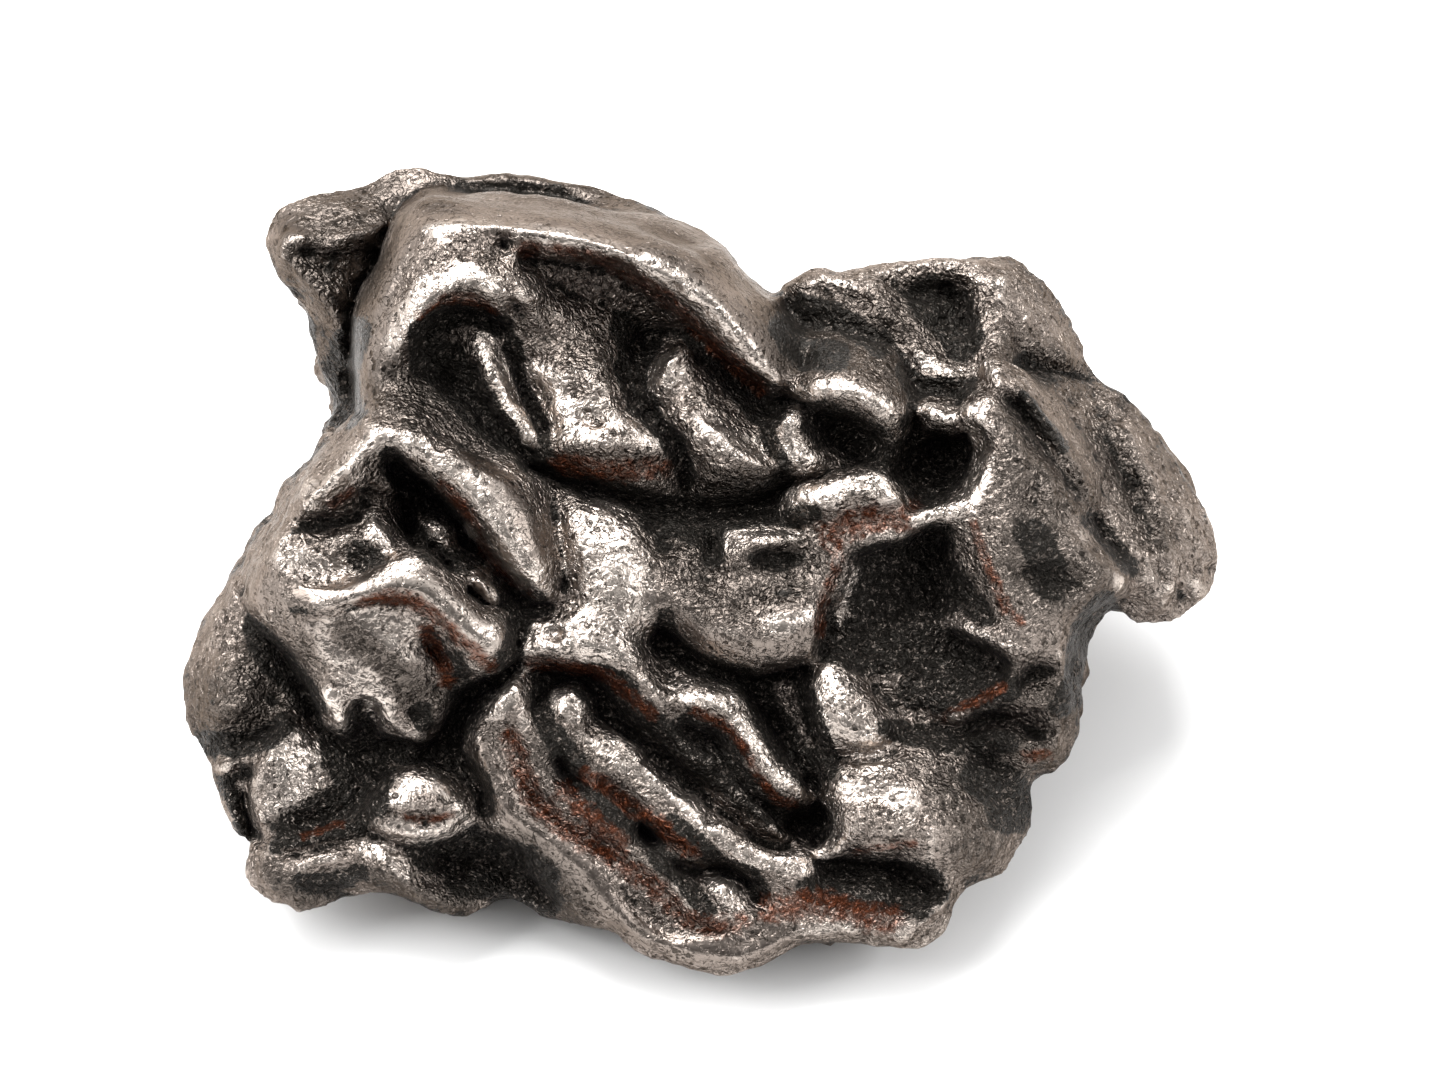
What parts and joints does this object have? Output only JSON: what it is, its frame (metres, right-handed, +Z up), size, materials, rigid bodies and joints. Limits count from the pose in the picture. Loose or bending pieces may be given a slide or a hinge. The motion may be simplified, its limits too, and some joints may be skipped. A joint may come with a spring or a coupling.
{
  "type": "iron meteorite",
  "caption": "Small iron meteorite, a folded and pitted lump of worn nickel-iron with rounded lips, deep crevices and flat soles to rest on.",
  "frame": {"origin": "middle of the bounding box, on the plane that the soles rest on", "axes": "+X along the longest extent, -Y towards the folded face, +Z up from the surface it rests on"},
  "size_m": [0.0346, 0.026, 0.0171],
  "materials": {
    "worn_iron": "worn grey metal with bright rubbed crests, black oxide in the crevices and a red-brown tint in the grooves"
  },
  "bodies": {
    "root": {"meteorite": "worn_iron"}
  },
  "joints": []
}
